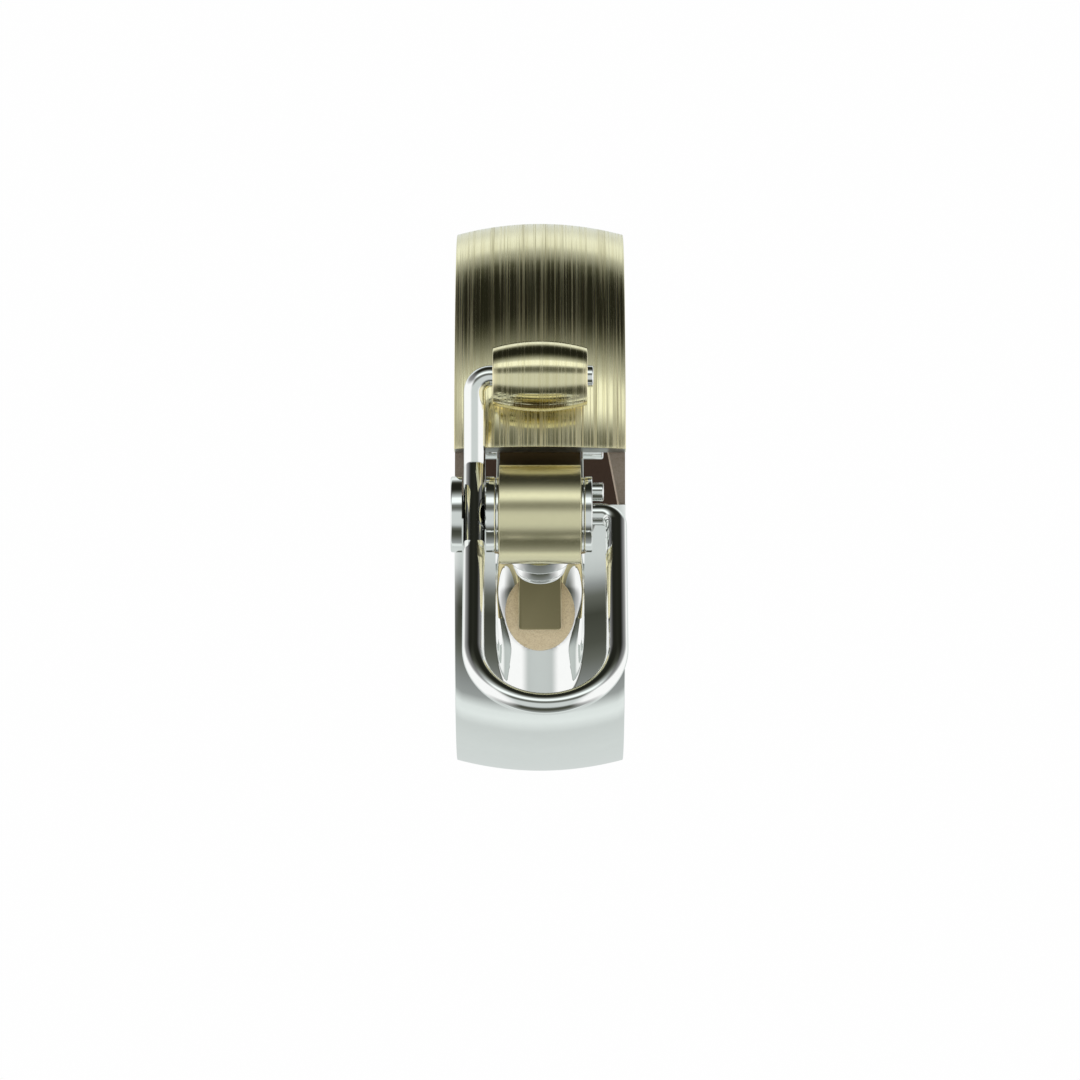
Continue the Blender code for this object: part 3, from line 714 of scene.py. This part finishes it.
def build_lower_half():
    front = -2 * RING_RADIUS
    outline = ellipse(WINDOW_HALF_WIDTH, WINDOW_HALF_HEIGHT, WINDOW_CENTRE)
    window = prism("window", outline, front, 0.0, 0.0, along_y)
    corners = [
        (NOTCH_HALF_WIDTH, -NOTCH_BOTTOM, 0.0), (NOTCH_HALF_WIDTH, NOTCH_BOTTOM, 0.2 * MM),
        (BOSS_NOTCH_HALF_WIDTH, NOTCH_BOTTOM, 0.2 * MM), (BOSS_NOTCH_HALF_WIDTH, BOSS_NOTCH_BOTTOM, 0.3 * MM)]
    outline = rounded(corners + [(-x, z, radius) for x, z, radius in reversed(corners)])
    notch = prism("notch", outline, front, 0.0, 0.0, along_y)
    mesh = cut(loft("lower_band", lower_rows()), "fine_lower_shell", [hinge_seat(), window, notch])
    add_piece("fine_lower_shell", mesh, satin_chrome, "lower_half", ["lower_shell"])

    rear = LINER_REAR_ANGLE + LINER_REAR_GAP - 360.0
    rows = ring_rows(liner_section(), rear, LOWER_LINER_FRONT_ANGLE, LINER_END_EDGE, 120)
    mesh = loft("fine_lower_liner", rows)
    lining = add_piece("fine_lower_liner", mesh, tan_leather, "lower_half", ["lower_liner"])
    lining.visible_glossy = False


def build_rear_hinge():
    edge = 0.12 * MM
    for node, body, finish, slot in (
            ("hinge_knuckle_left", "upper_half", barrel_brass, "brushed_brass"),
            ("hinge_knuckle_right", "upper_half", barrel_brass, "brushed_brass"),
            ("hinge_knuckle_middle", "lower_half", satin_chrome, "polished_chrome")):
        low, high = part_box(node)
        profile = tube_profile(low.x, high.x, KNUCKLE_RADIUS, HINGE_PIN_RADIUS + FIT, edge)
        add_piece("fine_" + node, turned("fine_" + node, profile, 64), finish, body, [node], REAR_AXIS)
    node = "rear_hinge_pin"
    low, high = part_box(node)
    mesh = turned("fine_" + node, rod_profile(low.x, high.x, HINGE_PIN_RADIUS, 0.2 * MM), 48, False)
    add_piece("fine_" + node, mesh, bright_steel, "upper_half", [node], REAR_AXIS)


# ---------------------------------------------------------------- the barrel and the bail

BARREL_RADIUS = 3.1 * MM
BARREL_END_RADIUS = 2.5 * MM
BARREL_CROWN_REACH = 0.94
BARREL_EDGE = 0.12 * MM
BARREL_BORE_EDGE = 0.1 * MM
WIRE_RADIUS = 0.95 * MM
WIRE_BORE_RADIUS = WIRE_RADIUS + 0.1 * MM
BAIL_LEAN = math.radians(41.0)
BAIL_REACH = 21.4 * MM
KINK_REACH = 5.67 * MM
STUB_LENGTH = 0.52 * MM
LEFT_LEG_X = -5.72 * MM
RIGHT_LEG_X = 6.61 * MM
WIRE_TIP_X = 2.6 * MM
LEG_DIRECTION = Vector((0.0, math.sin(BAIL_LEAN), math.cos(BAIL_LEAN)))


def build_barrel(crown_steps=28):
    half = size_of("bail_barrel").x / 2
    corners = [(-half, WIRE_BORE_RADIUS, BARREL_BORE_EDGE), (-half, BARREL_END_RADIUS, BARREL_EDGE)]
    for step in range(1, crown_steps):
        across = BARREL_CROWN_REACH * (2.0 * step / crown_steps - 1.0)
        drop = (BARREL_RADIUS - BARREL_END_RADIUS) * across * across
        corners.append((across * half, BARREL_RADIUS - drop, 0.0))
    corners += [(half, BARREL_END_RADIUS, BARREL_EDGE), (half, WIRE_BORE_RADIUS, BARREL_BORE_EDGE)]
    mesh = turned("fine_bail_barrel", rounded(corners))
    nodes = ["bail_barrel"]
    add_piece("fine_bail_barrel", mesh, barrel_brass, "upper_half", nodes, BARREL_AXIS)


def build_bail():
    kink = AXLE_AXIS + LEG_DIRECTION * KINK_REACH
    bottom = AXLE_AXIS - LEG_DIRECTION * BAIL_REACH
    left = Vector((LEFT_LEG_X, 0.0, 0.0))
    right = Vector((RIGHT_LEG_X, 0.0, 0.0))
    stub_x = middle_of("bail_barrel").x + size_of("bail_barrel").x / 2 + STUB_LENGTH
    stub = Vector((stub_x, 0.0, 0.0))
    loop_radius = (RIGHT_LEG_X - LEFT_LEG_X) / 2
    corners = [
        (BARREL_AXIS + stub, 0.0),
        (BARREL_AXIS + left, 1.4 * MM),
        (kink + left, 1.05 * MM),
        (bottom + left, loop_radius),
        (bottom + right, loop_radius),
        (AXLE_AXIS + right, 1.3 * MM),
        (AXLE_AXIS + Vector((WIRE_TIP_X, 0.0, 0.0)), 0.0)]
    mesh = wire_mesh("fine_bail_wire", rounded_path(corners), WIRE_RADIUS, 0.15 * MM)
    add_piece("fine_bail_wire", mesh, bright_chrome, "bail", ["bail_wire"])


# ---------------------------------------------------------------- the lever

DRUM_RADIUS = 4.3 * MM
DISC_RADIUS = 3.3 * MM
SLEEVE_RADIUS = 1.7 * MM
SLEEVE_BORE = SLEEVE_RADIUS + FIT
SLOT_HALF_WIDTH = WIRE_RADIUS + 0.1 * MM
LEVER_TURN = math.radians(45.0)
HOOK_PIN_RADIUS = 0.6 * MM
STOP_PIN_RADIUS = 0.82 * MM
PLATE_RIM = 0.45 * MM
BLOCK_RIM = 0.35 * MM
TONGUE_LEAN = math.radians(38.0)
TONGUE_TURN = TONGUE_LEAN - math.pi / 2
BOSS_START = 3.4 * MM
BOSS_FLANGE_RADIUS = 2.85 * MM
BOSS_RADIUS = 2.35 * MM
FLANGE_END = 4.45 * MM
BOSS_END = 6.05 * MM
TONGUE_WIDTH = 3.75 * MM
TONGUE_THICKNESS = 0.8 * MM
TONGUE_SETBACK = 1.0 * MM
TONGUE_END = 13.75 * MM
TONGUE_CORNER = 0.3 * MM


def about_axle(node):
    """The (y, z) of a node's middle, from the lever's axle."""
    place = middle_of(node) - AXLE_AXIS
    return Vector((place.y, place.z))


def add_to_lever(node, mesh, material, turn=0.0):
    add_piece("fine_" + node, mesh, material, "lever", [node], AXLE_AXIS, turn)


def cylinder(radius, start, end, place=(0.0, 0.0)):
    mesh = turned("cylinder", rod_profile(start, end, radius, 0.0), 64, False)
    mesh.transform(Matrix.Translation((0.0, *place)))
    return mesh


def slot_cutter():
    """All of the clevis's middle but a web that the wire stays clear of as the lever turns."""
    rest = math.pi / 2 - BAIL_LEAN
    final = rest + LEVER_TURN + math.pi
    half_turn = (math.pi - LEVER_TURN) / 2
    towards_apex = Vector((math.cos(rest - half_turn), math.sin(rest - half_turn)))
    apex = towards_apex * SLOT_HALF_WIDTH / math.sin(half_turn)
    reach = 2.5 * DISC_RADIUS
    outline = [apex, apex + reach * Vector((math.cos(rest), math.sin(rest)))]
    outline += arc_points(Vector((0.0, 0.0)), reach, rest + 0.35, final - 0.35, 8)
    outline.append(apex + reach * Vector((math.cos(final), math.sin(final))))
    return prism("slot", outline, LEFT_LEG_X - SLOT_HALF_WIDTH, LEFT_LEG_X + SLOT_HALF_WIDTH, 0.0, along_x)


def build_discs():
    low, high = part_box("wire_clevis")
    whole = turned("clevis", rod_profile(low.x, high.x, DISC_RADIUS, 0.16 * MM), 128, False)
    mesh = cut(whole, "fine_wire_clevis", [slot_cutter(), cylinder(SLEEVE_BORE, LEFT_LEG_X, 0.0)])
    add_to_lever("wire_clevis", mesh, bright_chrome)
    low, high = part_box("end_disc")
    mesh = turned("fine_end_disc", tube_profile(low.x, high.x, DISC_RADIUS, SLEEVE_BORE, 0.1 * MM, 0.05 * MM))
    add_to_lever("end_disc", mesh, bright_chrome)


def build_drum():
    low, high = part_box("drum")
    mesh = turned("fine_drum", tube_profile(low.x, high.x, DRUM_RADIUS, SLEEVE_BORE, 0.05 * MM))
    add_to_lever("drum", mesh, drum_brass)
    low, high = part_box("axle_sleeve")
    profile = tube_profile(low.x, high.x, SLEEVE_RADIUS, WIRE_BORE_RADIUS, 0.08 * MM, 0.05 * MM)
    add_to_lever("axle_sleeve", turned("fine_axle_sleeve", profile), bright_steel)


def build_plates_and_pins():
    hook = about_axle("hook_pin")
    stop = about_axle("stop_pin")
    axle = Vector((0.0, 0.0))
    outline = link_outline([
        (axle, DISC_RADIUS - FIT), (stop, STOP_PIN_RADIUS + PLATE_RIM), (hook, HOOK_PIN_RADIUS + PLATE_RIM)])
    holes = ((hook, HOOK_PIN_RADIUS), (stop, STOP_PIN_RADIUS), (axle, SLEEVE_RADIUS))
    for node in ("side_plate_left", "side_plate_right"):
        low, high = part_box(node)
        bores = [cylinder(radius + FIT, -HALF_WIDTH, HALF_WIDTH, place) for place, radius in holes]
        mesh = cut(prism(node, outline, low.x, high.x, 0.06 * MM, along_x), "fine_" + node, bores)
        add_to_lever(node, mesh, bright_steel)
    outline = link_outline([(stop, STOP_PIN_RADIUS + BLOCK_RIM), (hook, HOOK_PIN_RADIUS + BLOCK_RIM)])
    low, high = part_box("spacer_block")
    bores = [cylinder(radius + FIT, -HALF_WIDTH, HALF_WIDTH, place) for place, radius in holes[:2]]
    mesh = cut(prism("block", outline, low.x, high.x, 0.1 * MM, along_x), "fine_spacer_block", bores)
    # The spacer block's near-black finish is painted shade.
    add_to_lever("spacer_block", mesh, dark_bronze)
    for node, place, radius in (("hook_pin", hook, HOOK_PIN_RADIUS), ("stop_pin", stop, STOP_PIN_RADIUS)):
        low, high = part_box(node)
        mesh = turned("fine_" + node, rod_profile(low.x, high.x, radius, 0.18 * MM), 48, False)
        mesh.transform(Matrix.Translation((0.0, *place)))
        add_to_lever(node, mesh, bright_steel)


def build_tongue():
    """A turned boss on the drum and a flat tongue below it, both made along +Y and then turned."""
    neck = BOSS_RADIUS - 0.3 * MM
    collar = FLANGE_END + 0.25 * MM
    groove = BOSS_END - 0.45 * MM
    rim = BOSS_END - 0.35 * MM
    profile = rounded([
        (BOSS_START, 0.0, 0.0), (BOSS_START, BOSS_FLANGE_RADIUS, 0.0),
        (FLANGE_END, BOSS_FLANGE_RADIUS, 0.15 * MM), (FLANGE_END, neck, 0.05 * MM),
        (collar, neck, 0.05 * MM), (collar, BOSS_RADIUS, 0.12 * MM),
        (groove, BOSS_RADIUS, 0.12 * MM), (groove, neck, 0.03 * MM),
        (rim, neck, 0.03 * MM), (rim, BOSS_RADIUS - 0.1 * MM, 0.06 * MM),
        (BOSS_END, BOSS_RADIUS - 0.15 * MM, 0.15 * MM), (BOSS_END, 0.0, 0.0)])
    whole = turned("boss", profile, 128, False)
    whole.transform(Matrix.Rotation(math.pi / 2, 4, "Z"))
    drum_space = cylinder(DRUM_RADIUS + FIT, -2 * DRUM_RADIUS, 2 * DRUM_RADIUS)
    mesh = cut(whole, "fine_tongue_boss", [drum_space])
    add_to_lever("tongue_boss", mesh, bright_chrome, TONGUE_TURN)

    half = TONGUE_WIDTH / 2
    start = BOSS_END + FIT
    corners = [(-half, start, 0.1 * MM), (half, start, 0.1 * MM)]
    corners += [(half, TONGUE_END, TONGUE_CORNER), (-half, TONGUE_END, TONGUE_CORNER)]
    back = TONGUE_SETBACK + TONGUE_THICKNESS
    mesh = prism("fine_tongue", rounded(corners), TONGUE_SETBACK, back, 0.15 * MM, along_z)
    # The tongue gets the darkened brass, which is painted shade.
    add_to_lever("tongue", mesh, tongue_brass, TONGUE_TURN)


# ---------------------------------------------------------------- studio and camera

CAMERA_DISTANCE = 595.0 * MM
CAMERA_HEIGHT = -3.9 * MM
LENS = 216.7
SOFT_LIGHT_DISTANCE = 450.0 * MM
SOFT_LIGHT_WATTS = 0.62
COVE_WHITE = 0.995

# What the metal mirrors: (degrees, brightness as a display value of 255), where 0 is towards the
# camera, 90 is up, 180 is behind the ring and -90 is down
STUDIO = (
    (-134, 206), (-117, 200), (-109, 225), (-104, 220), (-97, 150), (-90, 138),
    (-74, 96), (-66, 76), (-52, 64), (-43, 98), (-38, 143), (-33, 186), (-26, 200), (5, 201), (9, 172),
    (13, 125), (20, 92), (28, 112), (33, 192), (38, 252), (50, 250), (56, 190), (68, 112), (75, 64),
    (82, 34), (98, 32), (108, 36), (116, 72), (126, 172), (132, 228), (141, 236), (152, 214))
STUDIO_SIDES = ((-1.0, 0.2), (-0.7, 0.5), (-0.5, 1.0), (0.3, 1.0), (0.5, 0.3), (0.75, 0.14), (0.92, 0.03))


def set_ramp(ramp, stops):
    while len(ramp.elements) > 1:
        ramp.elements.remove(ramp.elements[-1])
    for index, (position, color) in enumerate(stops):
        element = ramp.elements[0] if index == 0 else ramp.elements.new(position)
        element.position = position
        element.color = (*color, 1.0)


def studio_color(level):
    """A linear colour for a display value. The dark parts of the studio lean to olive."""
    value = ((level / 255 + 0.055) / 1.055) ** 2.4 / CHROME[0]
    return (value, value * 1.06, value * (0.76 + 0.28 * min(1.0, value / 0.25)))


def build_world():
    world = bpy.data.worlds.new("studio")
    bpy.context.scene.world = world
    world.use_nodes = True
    tree = world.node_tree
    place = tree.nodes.new("ShaderNodeTexCoord")
    split = tree.nodes.new("ShaderNodeSeparateXYZ")
    link(tree, place.outputs["Generated"], split.inputs[0])
    towards_camera = math_node(tree, "MULTIPLY", split.outputs["Y"], -1.0)
    angle = math_node(tree, "ARCTAN2", split.outputs["Z"], towards_camera)
    front = tree.nodes.new("ShaderNodeValToRGB")
    link(tree, map_range(tree, angle, -math.pi, math.pi, 0.0, 1.0), front.inputs[0])
    set_ramp(front.color_ramp, [((degrees + 180) / 360, studio_color(level)) for degrees, level in STUDIO])
    sides = tree.nodes.new("ShaderNodeValToRGB")
    link(tree, map_range(tree, split.outputs["Z"], -1.0, 1.0, 0.0, 1.0), sides.inputs[0])
    set_ramp(sides.color_ramp, [((height + 1) / 2, (value, value, value)) for height, value in STUDIO_SIDES])
    share = map_range(tree, math_node(tree, "ABSOLUTE", split.outputs["X"]), 0.45, 0.75, 0.0, 1.0)
    share.node.interpolation_type = "SMOOTHSTEP"
    background = tree.nodes["Background"]
    link(tree, mix_color(tree, share, front.outputs[0], sides.outputs[0]), background.inputs["Color"])


def build_stage():
    """A white cove all round. It isn't mirrored in the metal, which mirrors the studio instead."""
    profile = [(-0.25, 0.0), (-0.25, 1.2), (-0.1, 1.8), (0.4, 2.1), (1.4, 1.6), (2.0, 0.0)]
    mesh = turned("cove", [(x, radius) for x, radius in profile], 96, False)
    mesh.transform(Matrix.Rotation(-math.pi / 2, 4, "Y"))
    white = bpy.data.materials.new("white_cove")
    white.use_nodes = True
    tree = white.node_tree
    tree.nodes.remove(tree.nodes["Principled BSDF"])
    glow = tree.nodes.new("ShaderNodeEmission")
    glow.inputs["Color"].default_value = (COVE_WHITE, COVE_WHITE, COVE_WHITE, 1.0)
    link(tree, glow.outputs[0], tree.nodes["Material Output"].inputs["Surface"])
    mesh.materials.append(white)
    cove = bpy.data.objects.new("cove", mesh)
    bpy.context.scene.collection.objects.link(cove)
    cove.visible_glossy = False
    cove.visible_diffuse = False
    cove.visible_shadow = False


def build_soft_light():
    """A broad light from the front that lights the leather and isn't mirrored in the metal."""
    data = bpy.data.lights.new("soft_light", "AREA")
    data.shape = "DISK"
    data.size = 0.35
    data.energy = SOFT_LIGHT_WATTS
    lamp = bpy.data.objects.new("soft_light", data)
    bpy.context.scene.collection.objects.link(lamp)
    lamp.location = (0.0, -SOFT_LIGHT_DISTANCE, 0.0)
    lamp.rotation_euler = (math.pi / 2, 0.0, 0.0)
    lamp.visible_glossy = False
    lamp.visible_camera = False


def build_camera():
    data = bpy.data.cameras.new("camera")
    data.lens = LENS
    data.sensor_width = 36.0
    data.clip_start = 0.01
    camera = bpy.data.objects.new("camera", data)
    bpy.context.scene.collection.objects.link(camera)
    camera.location = (0.0, -CAMERA_DISTANCE, CAMERA_HEIGHT)
    camera.rotation_euler = (math.pi / 2, 0.0, 0.0)
    bpy.context.scene.camera = camera
    bpy.context.scene.view_settings.view_transform = "Standard"


build_upper_half()
build_lower_half()
build_rear_hinge()
build_barrel()
build_bail()
build_discs()
build_drum()
build_plates_and_pins()
build_tongue()
build_world()
build_stage()
build_soft_light()
build_camera()
